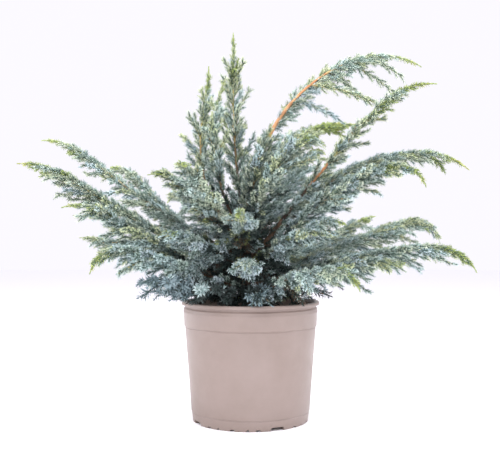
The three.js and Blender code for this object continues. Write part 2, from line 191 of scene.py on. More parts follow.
# The pot: a moulded nursery pot, turned from one outline, with drain notches cut through its foot
pot = {
    "height": 224, "lipRadius": 130, "lipHeight": 6.5, "neckRadius": 123.4, "neckHeight": 3.6,
    "collarRadius": 126, "collarBottom": 178, "ridgeHeight": 205, "ridgeProud": 0.5, "groove": 0.5,
    "bodyTopRadius": 123.4, "bodyLowRadius": 113.4, "bodyLowHeight": 45,
    "bandHeight": 19, "bandRadius": 110.6, "bandStep": 0.9, "footRadius": 108.4, "footInnerRadius": 96,
    "padRadius": 34, "recessHeight": 3.5, "floorTop": 9, "wall": 2.2, "innerLipRadius": 121.6,
    "sides": 192, "pinhole": 0.05, "sharpFrom": 35,
    "notches": [    # in each quarter: turn from the first one, width, height, the top's width as a share
        (0, 27, 6.5, 0.82), (20.6, 8.6, 3.2, 0.9), (31.4, 4.4, 4, 0.3),
        (46, 8.6, 3.2, 0.9), (61, 4.4, 4, 0.3), (71, 8.6, 3.2, 0.9),
    ],
    "firstNotchHeading": -63.5, "notchDepth": 30, "notchBelow": 3, "notchShoulder": 0.55,
    "shadeDark": (127, 112, 105), "shadeLight": (134, 119, 113), "specular": 0.45,
    "pattern": {"Scale": 14, "Relief": 0.12, "Depth": 0.0003, "Dry": 0.5},
}


# Corners are (radius, height, fillet)
def roundedOutline(corners, steps=4):
    outline = []
    for i, (radius, height, fillet) in enumerate(corners):
        here = np.array([radius, height], float)
        if not fillet:
            outline.append(here)
            continue
        before = np.array(corners[i - 1][:2]) - here
        after = np.array(corners[i + 1][:2]) - here
        start = here + before / np.linalg.norm(before) * fillet
        end = here + after / np.linalg.norm(after) * fillet
        for t in np.linspace(0, 1, steps + 1):
            outline.append((1 - t) ** 2 * start + 2 * t * (1 - t) * here + t * t * end)
    return np.array(outline)


def turnedPiece(name, outline, sides, looks):
    turn = around(sides)
    rings = np.stack([outline[:, :1] * np.cos(turn), outline[:, :1] * np.sin(turn),
                      np.repeat(outline[:, 1:], sides, 1)], -1)
    a, b = ringCorners(len(outline), sides)
    return meshPiece(name, rings.reshape(-1, 3), np.stack([a, b, b + sides, a + sides], -1), looks)


def notchCutters():
    parts = []
    reach = (pot["footRadius"] + pot["footInnerRadius"]) / 2
    for quarter in range(4):
        for turn, width, height, narrowing in pot["notches"]:
            half, low, shoulder = width / 2, -pot["notchBelow"], height * pot["notchShoulder"]
            section = [(-half, low), (half, low), (half, shoulder), (half * narrowing, height),
                       (-half * narrowing, height), (-half, shoulder)]
            heading = math.radians(pot["firstNotchHeading"] + 90 * quarter + turn)
            outward = np.array([math.cos(heading), math.sin(heading), 0])
            sideways = np.array([-math.sin(heading), math.cos(heading), 0])
            ends = [outward * (reach + sign * pot["notchDepth"] / 2) for sign in (-1, 1)]
            points = np.array([end + sideways * y + upward * z for end in ends for y, z in section])
            count = len(section)
            walls = [(i, (i + 1) % count, (i + 1) % count + count) for i in range(count)]
            walls += [(i, (i + 1) % count + count, i + count) for i in range(count)]
            caps = [(0, i + 1, i) for i in range(1, count - 1)]
            caps += [(count, count + i, count + i + 1) for i in range(1, count - 1)]
            faces = np.array(walls + caps)
            parts.append((points, faces, np.zeros(len(faces))))
    points, faces, lookOf = joined(parts)
    return meshPiece("cutters", points, faces, [], lookOf, smooth=False)


# The outline runs from the centre of the underside up the outside, over the lip and down to the
# floor's centre. Its small offsets and fillets are in mm.
def potOutline():
    p, wall, groove = pot, pot["wall"], pot["groove"]
    top, floor, foot, recess = p["height"], p["floorTop"], p["footInnerRadius"], p["recessHeight"]
    band, bandAt, body, neck = p["bandRadius"], p["bandHeight"], p["bodyTopRadius"], p["neckRadius"]
    collar, collarAt, ridge = p["collarRadius"], p["collarBottom"], p["ridgeHeight"]
    lipBottom = top - p["lipHeight"]
    neckBottom = lipBottom - p["neckHeight"]
    outline = roundedOutline([
        (0, 0, 0), (p["padRadius"], 0, 0.6), (p["padRadius"] + 2, recess, 0.6), (foot - 2, recess, 0.8),
        (foot, 0, 0.6), (p["footRadius"], 0, 1.4), (band, bandAt - 1.4, 0.3),
        (band - groove, bandAt - 0.4, 0.2), (band - groove, bandAt + 0.4, 0.2),
        (band + p["bandStep"], bandAt + 1, 0.5), (p["bodyLowRadius"], p["bodyLowHeight"], 0),
        (body, collarAt - 2.8, 0.5), (body - groove, collarAt - 1.2, 0.3),
        (body - groove, collarAt - 0.2, 0.3), (collar - 0.8, collarAt + 0.6, 0.6), (collar, ridge - 2.5, 0),
        (collar + p["ridgeProud"], ridge - 1, 0.5), (collar + p["ridgeProud"], ridge + 1, 0.5),
        (collar, ridge + 2.5, 0), (collar, neckBottom - 3, 0.8), (neck, neckBottom, 0.6),
        (neck, lipBottom, 0.5), (p["lipRadius"], lipBottom + 0.6, 1), (p["lipRadius"] - 0.6, top, 2.6),
        (p["innerLipRadius"], top, 1), (neck - wall, lipBottom, 0.6),
        (collar - 1 - wall, neckBottom - 3, 0.8), (collar - 1 - wall, collarAt + 4, 0.8),
        (body - wall, collarAt - 4, 0.8),
        (band - wall, floor + 6, 2), (band - wall - 6, floor, 2), (0, floor, 0),
    ])
    outline[[0, -1], 0] = p["pinhole"]    # a pinhole at each centre keeps the faces square
    return outline


def makePot():
    look = mottledLook("mouldedPlastic", pot["shadeDark"], pot["shadeLight"], pot["pattern"],
                       pot["specular"])
    outline = potOutline()
    piece = turnedPiece("potShell", outline, pot["sides"], [look])
    capEnds(piece, pot["sides"], len(outline))
    cutters = notchCutters()
    cut = piece.modifiers.new("notches", "BOOLEAN")
    cut.operation = "DIFFERENCE"
    cut.solver = "EXACT"
    cut.object = cutters
    evaluated = piece.evaluated_get(bpy.context.evaluated_depsgraph_get())
    piece.data = bpy.data.meshes.new_from_object(evaluated)
    piece.modifiers.clear()
    bpy.data.objects.remove(cutters)
    piece.data.polygons.foreach_set("use_smooth", np.full(len(piece.data.polygons), True))
    piece.data.set_sharp_from_angle(angle=math.radians(pot["sharpFrom"]))
    return piece


# Closes the pinholes at both ends of a turned outline
def capEnds(piece, sides, rows):
    bm = bmesh.new()
    bm.from_mesh(piece.data)
    bm.verts.ensure_lookup_table()
    for first, backwards in ((0, True), ((rows - 1) * sides, False)):
        ring = [bm.verts[first + i] for i in range(sides)]
        bm.faces.new(ring[::-1] if backwards else ring)
    bmesh.ops.recalc_face_normals(bm, faces=bm.faces)
    bm.to_mesh(piece.data)
    bm.free()


potShell = makePot()
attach(potShell, "root")
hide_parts("pot")
print("pot:", len(potShell.data.polygons), "faces")


# The soil: a rough, slightly domed top with loose bark chips on it
soil = {
    "top": 204, "edgeDrop": 4, "radius": 122.3, "depth": 16, "rows": 46, "sides": 120, "centre": 0.004,
    "roughness": 2.2, "lumpSize": 9, "lumpSeed": 3.1,
    "chips": 900, "chipSize": (3.0, 11.0), "chipWidth": (0.2, 0.4), "chipThickness": (0.06, 0.16),
    "chipWear": (0.6, 1.1), "chipLift": 0.8, "chipFromEdge": 4, "chipTilt": 0.35, "chipFlat": 2.2,
    "shadeDark": (34, 26, 22), "shadeLight": (74, 57, 46), "specular": 0.2,
    "pattern": {"Scale": 160, "Relief": 0.6, "Depth": 0.002, "Dry": 0.95},
    "chipShades": [(92, 66, 48), (62, 45, 35), (120, 92, 68)], "chipRoughness": 0.9, "seed": 71,
}


def soilHeight(x, y):
    out = np.hypot(x, y) / soil["radius"]
    level = soil["top"] - soil["edgeDrop"] * out ** 2
    rough = np.array([
        noise.fractal(Vector((float(a), float(b), soil["lumpSeed"])) / soil["lumpSize"], 0.8, 2.0, 4)
        for a, b in zip(np.ravel(x), np.ravel(y))]).reshape(np.shape(x))
    return level + soil["roughness"] * (rough - 0.4)    # the noise lies about 0.4


def soilSurface():
    rows, sides = soil["rows"], soil["sides"]
    out = np.linspace(soil["centre"], 1, rows) * soil["radius"]
    turn = around(sides)
    x, y = out[:, None] * np.cos(turn), out[:, None] * np.sin(turn)
    top = np.stack([x, y, soilHeight(x, y)], -1)
    skirt = top[-1] * [1, 1, 0] + upward * (soil["top"] - soil["depth"])
    faces = wallFaces(rows + 1, sides)
    return np.concatenate([top.reshape(-1, 3), skirt]), faces, np.zeros(len(faces))


# A worn block, turned at random but lying rather flat
def soilChip(rng, shade):
    block = np.array([(i, j, k) for i in (-1, 1) for j in (-1, 1) for k in (-1, 1)], float)
    faces = np.array([(0, 1, 3), (0, 3, 2), (4, 6, 7), (4, 7, 5), (0, 4, 5), (0, 5, 1),
                      (2, 3, 7), (2, 7, 6), (0, 2, 6), (0, 6, 4), (1, 5, 7), (1, 7, 3)])
    away = (soil["radius"] - soil["chipFromEdge"]) * math.sqrt(rng.random())
    heading = rng.random() * 2 * math.pi
    size = rng.uniform(*soil["chipSize"])
    x, y = away * math.cos(heading), away * math.sin(heading)
    sides = np.array([0.5, rng.uniform(*soil["chipWidth"]), rng.uniform(*soil["chipThickness"])])
    form = block * (size * sides) * rng.uniform(*soil["chipWear"], (8, 3))
    lean = rng.normal(0, 1, (3, 3)) * [1, 1, soil["chipTilt"]] + np.diag([0, 0, soil["chipFlat"]])
    level = float(soilHeight(np.array([x]), np.array([y]))[0])
    centre = np.array([x, y, level + soil["chipLift"]])
    return form @ np.linalg.qr(lean)[0].T + centre, faces, np.full(12, shade)


def makeSoil():
    rng = np.random.default_rng(soil["seed"])
    parts = [soilSurface(), *[soilChip(rng, 1 + i % 3) for i in range(soil["chips"])]]
    points, faces, lookOf = joined(parts)
    looks = [mottledLook("growingMedium", soil["shadeDark"], soil["shadeLight"], soil["pattern"],
                         soil["specular"])]
    looks += [plainLook(f"barkChip{i}", shade, soil["chipRoughness"], soil["specular"])
              for i, shade in enumerate(soil["chipShades"])]
    return meshPiece("soilTop", points, faces, looks, lookOf, smooth=False)


soilPiece = makeSoil()
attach(soilPiece, "root")
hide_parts("soil")
print("soil:", len(soilPiece.data.polygons), "faces")


# Sizes of the growing rule: the trunk and the limbs, then the sprays
growth = {
    "steps": 24, "nodStart": 0.7, "spaceGap": 0.6, "lowest": 213,
    "soilTop": 204, "trunkTop": 338, "trunkFoot": 15.5, "trunkTip": 8, "flareRadius": 20, "flareHeight": 14,
    "lean": (-0.03, 0.02), "limbBase": 2, "limbPerLength": 0.0056, "limbTaper": 0.84, "limbPower": 0.85,
    "clothedFrom": 7, "clothedTo": 1.5, "clearOfTrunk": 80, "tipRadius": 7,
    "firstSeed": 4100, "seedStep": 97,
}
spray = {
    "spacing": 21.3, "firstFromTrunk": 22, "firstFromBough": 8, "lastShare": 0.87,
    "turn": 137.5, "spreadBase": 52, "spreadTip": 26, "spreadJitter": 6,
    "longest": 112, "lengthShare": 0.27, "tipShare": 0.42, "tipLength": 8, "lengthJitter": 0.16,
    "slimness": 0.17, "marks": (0.12, 0.24, 0.36, 0.48, 0.6, 0.72, 0.84, 1), "widestFrom": 0.4,
    "narrowsOver": 0.28, "curl": 0.2, "droop": 0.16, "upperShare": 0.35, "sizes": (1, 0.8, 0.64, 0.5),
}


# The growing rule, the same as the part's. Each limb leaves the trunk at a height and a heading
# that veers along it, and rises by an angle that bends along it and nods over its last part. Bare
# is the share that is a bough, and hang, full, sparse and droop say how its sprays lie. Tint runs
# from 0, silver-blue, to 5, green. The painted-light share is that of its sprays that take a lighter,
# lit copy of their tint, and lime the share of the limb at its tip that is yellow-green. Seam is where
# its stem shows bare at the front, and thinned where its shoots begin to thin out, are thinnest, and
# have filled up again.
def limbOf(height, heading, rise, bend, nod, length, **own):
    usual = {
        "veer": 0, "bare": 0, "hang": 0, "full": 1, "sparse": 1, "droop": spray["droop"], "tint": 2.8,
        "pale": 0.5, "lime": 0.06, "star": False, "spurs": 1, "spurSize": 1, "sideSize": 1,
        "thinned": (0, 0, 0, 0), "seam": None, "wood": "tan",
    }
    return {"height": height, "heading": heading, "rise": rise, "bend": bend, "nod": nod,
            "length": length, **usual, **own}


# Low limbs in the shade, with open, spiky tufts
def starLimb(*sizes, **own):
    return limbOf(*sizes, star=True, spurs=0.5, lime=0, wood="shaded", **own)


limbs = {
    "leader_tall": limbOf(330, 110, 57, 45, -16, 436, bare=0.15, full=0.84, tint=3.4, pale=0.95, lime=0.1,
        spurSize=0.8, seam=(0.3, 0.75)),
    "leader_left": limbOf(316, 178, 42, 78, -34, 378, bare=0.18, full=0.8, tint=3.4, pale=0.95, lime=0.1,
        spurSize=0.8, seam=(0.3, 0.75)),
    "leader_middle": limbOf(333, 214, 49, 62, 4, 325, veer=-20, full=0.7, tint=3.6, pale=0.8,
        spurSize=0.7),
    "right_arch": limbOf(338, 22, 95, -101, -19, 615, bare=0.47, hang=1.5, full=1.15, sparse=2.2,
        droop=0.4, tint=3.2, pale=1, lime=0.08, thinned=(0.27, 0.3, 0.36, 0.4), spurSize=0.6,
        sideSize=1.3, seam=(0.32, 0.66), wood="orange"),
    "right_high": limbOf(292, -20, 53, -10, -56, 490, bare=0.22, full=0.5, tint=3.0, pale=0.8, lime=0.16,
        spurSize=0.8, seam=(0.37, 0.47), wood="rust"),
    "right_middle": limbOf(268, 10, 66, -76, -30, 545, bare=0.2, hang=-0.3, full=0.74, pale=0.5,
        lime=0.13, spurSize=0.85),
    "right_droop": limbOf(255, -36, 54, -40, -91, 440, veer=10, bare=0.2, full=0.72, tint=2.6, lime=0.1),
    "right_lower": limbOf(247, 28, 21, -5, -97, 505, bare=0.2, full=0.9, tint=3.0, pale=0.6),
    "right_long": limbOf(237, -12, 24, -23, -71, 445, bare=0.2, hang=-0.2, full=0.85, tint=3.0, pale=0.7,
        lime=0.14),
    "right_under": limbOf(224, -32, 25, -18, -32, 330, full=0.85, tint=2.2),
    "right_nod": limbOf(235, -62, 18, -14, -70, 345, veer=8, bare=0.15, full=0.75, tint=2.4, lime=0.11),
    "left_high": limbOf(297, 164, 25, 17, -45, 505, bare=0.2, full=0.58, tint=2.8, pale=0.8, lime=0.1,
        spurSize=0.85),
    "left_main": limbOf(262, 187, 24, 15, -46, 484, bare=0.2, hang=0.3, full=0.85, tint=3.0, pale=0.7,
        lime=0.11),
    "left_middle": limbOf(249, 205, 21, 14, -55, 390, bare=0.18, hang=0.3, tint=2.5, pale=0.5, lime=0.1),
    "left_low": limbOf(238, 172, 26, -15, -11, 352, tint=2.5),
    "left_nod": limbOf(236, 221, 23, -14, -87, 375, bare=0.18, full=0.9, tint=2.0, lime=0.1),
    "left_skirt": starLimb(229, 240, 10, 2, -34, 315, veer=-10, hang=0.4, full=1.15, tint=1.4, pale=0.2),
    "left_inner": limbOf(304, 208, 43, 3, -82, 265, hang=-0.2, full=0.8, tint=2.8),
    "left_upright": limbOf(312, 244, 27, 17, -63, 315, tint=2.9),
    "left_second": limbOf(280, 146, 19, 36, -80, 430, bare=0.2, hang=-0.3, full=0.72, tint=2.3, pale=0.7),
    "right_inner": limbOf(330, -101, 68, 6, -10, 240, veer=101, full=1.05, tint=3.1, pale=0.3),
    "right_back": limbOf(290, 44, 3, 28, -28, 400, bare=0.2, tint=3.0),
    "arch_yellow": limbOf(312, 90, 63, -57, -14, 540, veer=-70, bare=0.2, tint=3.4, pale=0.6, lime=0.3),
    "arch_inner": limbOf(303, -90, 63, -14, -122, 310, veer=100, hang=0.4, tint=3.0, pale=0.45),
    "front_high": limbOf(303, -95, 36, -22, -50, 235, tint=2.8, pale=0.25, lime=0.02),
    "front_left": limbOf(278, -130, 24, -6, -50, 250, tint=1.8, pale=0.4),
    "front_middle": limbOf(264, -92, 16, -8, -60, 225, tint=1.5, pale=0, lime=0),
    "front_right": limbOf(284, -50, 28, -10, -50, 270, tint=2.1, pale=0.3),
    "front_low": starLimb(244, -84, 6, -12, -40, 190, tint=0.8, pale=0.5),
    "skirt_left": starLimb(220, -152, 13, -6, -20, 196, tint=1.0, pale=0.4),
    "skirt_right": starLimb(218, -38, 16, -8, -26, 180, full=1.1, tint=1.0, pale=0.1),
    "back_right": limbOf(296, 60, 49, -20, -50, 425, bare=0.18, tint=2.4, pale=0.4, lime=0.1),
    "back_middle": limbOf(304, 92, 40, -28, -60, 390, bare=0.18),
    "back_left": limbOf(290, 120, 34, -18, -60, 410, bare=0.18, lime=0.1),
    "back_low_right": limbOf(252, 62, 20, -12, -50, 360, tint=2.2),
    "back_low_left": limbOf(256, 138, 22, -14, -50, 350, tint=2.2),
    "back_low": limbOf(238, 100, 22, -14, -50, 350, tint=1.8),
}


def limbFrame(limb, share):
    share = np.asarray(share, float)
    late = np.maximum(0, (share - growth["nodStart"]) / (1 - growth["nodStart"]))
    rise = np.radians(limb["rise"] + limb["bend"] * share + limb["nod"] * late ** 2)
    heading = np.radians(limb["heading"] + limb["veer"] * share)
    along = np.stack([np.cos(rise) * np.cos(heading), np.cos(rise) * np.sin(heading), np.sin(rise)], -1)
    across = np.stack([-np.sin(heading), np.cos(heading), np.zeros_like(heading)], -1)
    return along, across, np.cross(across, along)


def trunkAxis(height):
    climb = np.asarray(height, float) - growth["soilTop"]
    return np.stack([growth["lean"][0] * climb, growth["lean"][1] * climb, climb + growth["soilTop"]], -1)


def trunkRadius(height):
    up = np.asarray(height, float) - growth["soilTop"]
    climb = up / (growth["trunkTop"] - growth["soilTop"])
    flare = np.maximum(0, 1 - up / growth["flareHeight"])
    plain = growth["trunkFoot"] + (growth["trunkTip"] - growth["trunkFoot"]) * climb
    return plain + (growth["flareRadius"] - growth["trunkFoot"]) * flare ** 2


def limbRadius(length, share):
    root = growth["limbBase"] + growth["limbPerLength"] * length
    return root * (1 - growth["limbTaper"] * share ** growth["limbPower"])


def clothedRadius(length, share):
    clothed = growth["clothedFrom"] + (growth["clothedTo"] - growth["clothedFrom"]) * share
    return limbRadius(length, share) + clothed * np.minimum(1, share * length / growth["clearOfTrunk"])


def placeOn(limb, share):
    at = np.asarray(share, float) * growth["steps"]
    i = np.minimum(growth["steps"] - 1, np.floor(at).astype(int))
    point = limb["line"][i] + (limb["line"][i + 1] - limb["line"][i]) * (at - i)[..., None]
    return (point, *limbFrame(limb, share))


for number, limb in enumerate(limbs.values()):
    middles = (np.arange(growth["steps"]) + 0.5) / growth["steps"]
    strides = limbFrame(limb, middles)[0] * limb["length"] / growth["steps"]
    limb["number"] = number
    limb["line"] = trunkAxis(limb["height"]) + np.concatenate([np.zeros((1, 3)), np.cumsum(strides, 0)])

limbStarts = np.array([limb["line"][:-1] for limb in limbs.values()])
limbSpans = np.array([np.diff(limb["line"], axis=0) for limb in limbs.values()])
limbSquares = (limbSpans ** 2).sum(-1)
limbLengths = np.array([limb["length"] for limb in limbs.values()], float)


# How far each point is from each limb, and the share of the limb that it is nearest to
def fromLimbs(points):
    offset = points[:, None, None] - limbStarts
    part = np.clip((offset * limbSpans).sum(-1) / limbSquares, 0, 1)
    gap = np.linalg.norm(offset - part[..., None] * limbSpans, axis=-1)
    nearest = gap.argmin(-1)[..., None]
    share = (nearest + np.take_along_axis(part, nearest, -1)) / growth["steps"]
    return np.take_along_axis(gap, nearest, -1)[..., 0], share[..., 0]


def sprayPoints(shoot, heights):
    bent = (heights ** 2 / shoot["length"])[:, None]
    return shoot["root"] + shoot["direction"] * heights[:, None] + shoot["curl"] * bent


def hasRoom(shoot, own):
    share = np.array(spray["marks"])
    form = np.minimum(np.minimum(share / spray["widestFrom"], 1), (1 - share) / spray["narrowsOver"])
    radius = shoot["length"] * spray["slimness"] * form
    point = sprayPoints(shoot, share * shoot["length"])
    out = np.hypot(point[:, 0], point[:, 1])
    low = point[:, 2] - radius
    gap = growth["spaceGap"]
    overLip = (out + radius >= pot["innerLipRadius"] - gap) & (out - radius < pot["lipRadius"] + gap)
    if (low < growth["lowest"]).any() or (overLip & (low < pot["height"] + gap)).any():
        return False
    level = np.minimum(point[:, 2], growth["trunkTop"])
    if (np.linalg.norm(point - trunkAxis(level), axis=1) < radius + trunkRadius(level) + gap).any():
        return False
    distance, there = fromLimbs(point)
    thickness = np.maximum(growth["tipRadius"], clothedRadius(limbLengths, there))
    clear = distance - distance[:, own:own + 1] > 2 * radius[:, None] + gap
    clear &= distance > radius[:, None] + thickness + gap
    clear[:, own] = True
    return bool(clear.all())


# The same numbers in the same order as the part draws them
def drawsFrom(seed):
    state = seed
    while True:
        state = state * 48271 % 2147483647
        yield state / 2147483647


# Which way a shoot leaves its limb, and what is left of its size where it leaves upwards
def leaving(limb, share, turn, hang, upperShare):
    point, along, across, under = placeOn(limb, share)
    outward = unit(across * math.cos(turn) + under * (math.sin(turn) + hang))
    return point, along, outward, 1 + (upperShare - 1) * max(0, outward[2])


def mainSprays(limb):
    draws = drawsFrom(growth["firstSeed"] + limb["number"] * growth["seedStep"])
    length = limb["length"]
    firstAt = limb["bare"] * length + spray["firstFromBough"] if limb["bare"] else spray["firstFromTrunk"]
    first = firstAt / length
    count = round((spray["lastShare"] - first) * length / (spray["spacing"] * limb["sparse"]))
    startTurn = next(draws) * 360
    found = []
    for k in range(count):
        share = first + (spray["lastShare"] - first) * k / count
        out = (share - first) / (1 - first)
        turn = math.radians(startTurn + spray["turn"] * k)
        jitter = spray["spreadJitter"] * (2 * next(draws) - 1)
        spread = spray["spreadBase"] + (spray["spreadTip"] - spray["spreadBase"]) * out + jitter
        full = min(spray["longest"], spray["lengthShare"] * length,
                   spray["tipShare"] * (1 - share) * length + spray["tipLength"])
        sprayLength = full * limb["full"] * (1 + spray["lengthJitter"] * (2 * next(draws) - 1))
        next(draws)    # the part's roll of the spray, which round shoots don't need
        point, along, outward, upper = leaving(limb, share, turn, limb["hang"], spray["upperShare"])
        opening = math.radians(spread * upper)
        for size in spray["sizes"]:
            shoot = {
                "root": point, "length": sprayLength * size * upper,
                "direction": turnedTo(along, outward, opening),
                "curl": along * spray["curl"] - upward * limb["droop"],
            }
            if hasRoom(shoot, limb["number"]):
                found.append({**shoot, "out": share, "kind": "main"})
                break
    return found


# Finer growth, within the reach of the sprays: spurs straight from the limb, side shoots on the
# sprays and on long spurs, and the limb's own end
finer = {
    "seed": 9020, "greenFrom": 0.74, "axisStretch": 55, "endShare": 0.16, "endLongest": 70,
    "openJitter": (0.85, 1.15), "clearMarks": (0.55, 1),
}
spurRule = {
    "spacing": 5.95, "firstAt": 12, "share": 0.56, "taper": 0.3, "tip": 6.5, "slimTip": 0.025,
    "spread": (46, 24), "upper": 0.5, "boughFrom": 0.2, "boughShare": 0.8, "thinnedTo": 0.45,
    "seamWidth": 0.55, "hang": 0.3, "curl": 0.22, "sink": 0.1,
    "placeJitter": (-0.3, 0.3), "turnJitter": (-20, 20), "lengthJitter": (0.65, 1.15),
}
sideRule = {
    "spacing": 4.6, "from": 0.06, "to": 0.97, "share": 0.04, "tip": 10, "longest": 17,
    "spread": (42, 30), "onSpursOver": 17, "upperLoss": 0.22, "curl": 0.24, "sink": 0.08,
    "placeJitter": (0.1, 0.9), "turnJitter": (-25, 25), "lengthJitter": (0.75, 1.2),
}


def limbStretch(limb, start, end):
    root, along, _, _ = placeOn(limb, start)
    tip = placeOn(limb, end)[0]
    length = (end - start) * limb["length"]
    return {"root": root, "direction": along, "curl": (tip - root) / length - along, "length": length,
            "out": (start + end) / 2}


def limbShoots(limb, rng):
    shoots = mainSprays(limb)
    rule, length = spurRule, limb["length"]
    firstAt = rule["boughFrom"] * limb["bare"] * length if limb["bare"] else rule["firstAt"]
    count = int(((1 - rule["slimTip"]) * length - firstAt) / rule["spacing"])
    full = min(spray["longest"], spray["lengthShare"] * length) * rule["share"] * limb["full"]
    startTurn = rng.random() * 360
    for k in range(count):
        place = k + rng.uniform(*rule["placeJitter"])
        share = max((firstAt + place * rule["spacing"]) / length, firstAt / length)
        turn = math.radians(startTurn + spray["turn"] * k + rng.uniform(*rule["turnJitter"]))
        hang = rule["hang"] * limb["hang"]
        point, along, outward, upper = leaving(limb, share, turn, hang, rule["upper"])
        bared = limb["seam"] and limb["seam"][0] < share < limb["seam"][1]
        if bared and -outward[1] > rule["seamWidth"]:
            continue
        spread = np.interp(share, (0, 1), rule["spread"]) * upper
        opening = math.radians(spread * rng.uniform(*finer["openJitter"]))
        longest = min(full, rule["taper"] * (1 - rule["slimTip"] - share) * length + rule["tip"])
        spurLength = longest * rng.uniform(*rule["lengthJitter"]) * upper * limb["spurSize"]
        if share < limb["bare"]:
            spurLength *= rule["boughShare"]
        usual, few = limb["spurs"], rule["thinnedTo"]
        if rng.random() > np.interp(share, limb["thinned"], (usual, few, few, usual)):
            continue
        shoots.append({
            "root": point, "length": spurLength, "out": share, "kind": "spur",
            "direction": turnedTo(along, outward, opening),
            "curl": along * rule["curl"] - upward * rule["sink"],
        })
    endLength = min(finer["endLongest"], finer["endShare"] * length)
    greenFrom = min(finer["greenFrom"], 1 - endLength / length)
    pieces = max(1, round((1 - greenFrom) * length / finer["axisStretch"]))
    marks = np.linspace(greenFrom, 1, pieces + 1)
    for start, end in zip(marks[:-1], marks[1:]):
        shoots.append({**limbStretch(limb, start, end), "kind": "end" if end == 1 else "axis"})
    return shoots


def sideShoots(shoot, size, rng):
    rule, length = sideRule, shoot["length"]
    reach = rule["to"] - rule["from"]
    count = int(reach * length / rule["spacing"])
    if count < 2:
        return []
    share = rule["from"] + reach * (np.arange(count) + rng.uniform(*rule["placeJitter"], count)) / count
    point = sprayPoints(shoot, share * length)
    along = unit(shoot["direction"] + 2 * shoot["curl"] * share[:, None])
    across, under = besides(along)
    startTurn = rng.random() * 360
    turn = startTurn + spray["turn"] * np.arange(count) + rng.uniform(*rule["turnJitter"], count)
    turn = np.radians(turn)[:, None]
    outward = turnedTo(across, under, turn)
    spread = np.interp(share, (0, 1), rule["spread"]) * rng.uniform(*finer["openJitter"], count)
    opening = np.radians(spread)[:, None]
    direction = turnedTo(along, outward, opening)
    sideLength = rule["share"] * length * (1 - share) + rule["tip"]
    sideLength = sideLength * rng.uniform(*rule["lengthJitter"], count)
    sideLength = np.minimum(sideLength, rule["longest"]) * size
    sideLength = sideLength * (1 - rule["upperLoss"] * np.maximum(0, outward[:, 2]))
    curl = along * rule["curl"] - upward * rule["sink"]
    return [{"root": point[i], "direction": direction[i], "curl": curl[i], "length": sideLength[i],
             "out": shoot["out"], "kind": "side"} for i in range(count)]


# What shoots and needles keep clear of: the pot's wall and lip, the soil and the trunk
clearance = {"wallRadius": 118.5, "overLip": 2, "soilRadius": 132, "overSoil": 2.5, "fromTrunk": 1}


def isClear(points):
    out = np.hypot(points[..., 0], points[..., 1])
    height = points[..., 2]
    inWall = (out > clearance["wallRadius"]) & (height < pot["height"] + clearance["overLip"])
    inSoil = (out < clearance["soilRadius"]) & (height < growth["soilTop"] + clearance["overSoil"])
    level = np.clip(height, growth["soilTop"], growth["trunkTop"])
    fromTrunk = np.linalg.norm(points - trunkAxis(level), axis=-1)
    return ~(inWall | inSoil | (fromTrunk < trunkRadius(level) + clearance["fromTrunk"]))


def staysClear(shoot):
    return isClear(sprayPoints(shoot, np.array(finer["clearMarks"]) * shoot["length"])).all()


# Needle shades, upper face and under face, from silver-blue to green, then the single ones. The
# shade one, near the trunk, and the dim blue-grey one, on the low tufts, are painted shade.
tints = [
    ("silver", (188, 200, 205), (149, 167, 172)), ("frost", (175, 189, 193), (133, 153, 156)),
    ("blue", (165, 180, 179), (126, 145, 144)), ("teal", (165, 178, 170), (121, 139, 131)),
    ("sage", (174, 181, 163), (132, 144, 126)), ("green", (175, 181, 149), (131, 141, 108)),
    ("lime", (159, 173, 110), (127, 142, 76)), ("yellow", (175, 180, 109), (146, 150, 75)),
    ("shade", (53, 64, 62), (26, 34, 33)), ("dry", (82, 68, 54), (52, 43, 36)),
    ("dimShade", (116, 133, 138), (78, 96, 101)), ("olive", (132, 140, 92), (97, 106, 63)),
]
limeTint, yellowTint, paintedShadeTint, dryTint, dimShadeTint, oliveTint = range(6, 12)
# After these come lit copies of the first six tints, lighter all over: painted light
firstPaintedLight = len(tints)    # paler copies of the first six come after these
# Sizes of the tints: the lit copies' painted light, the reach of painted shade, the dim low tufts
tinting = {
    "paintedLightBy": 1.16, "paintedLightCap": 240, "paintedLightFrom": (0.25, 0.6), "greener": 2.2, "greenerFrom": 0.35,
    "jitter": 1.25, "limeBefore": 0.12, "limeChance": 0.35, "yellowFrom": 0.4, "yellowChance": 0.6,
    "litAt": 145, "starLitAt": 235, "dryChance": 0.15, "oliveChance": 0.14,
    "dimShadeShare": 0.8, "sameTint": 0.75,
}


def paintedLightShade(shade):
    return tuple(min(tinting["paintedLightCap"], round(part * tinting["paintedLightBy"])) for part in shade)


# The lit copies, painted light for the sprays towards the outer ends of the limbs
tints += [(f"pale{name.title()}", paintedLightShade(upper), paintedLightShade(lower))
          for name, upper, lower in tints[:limeTint]]


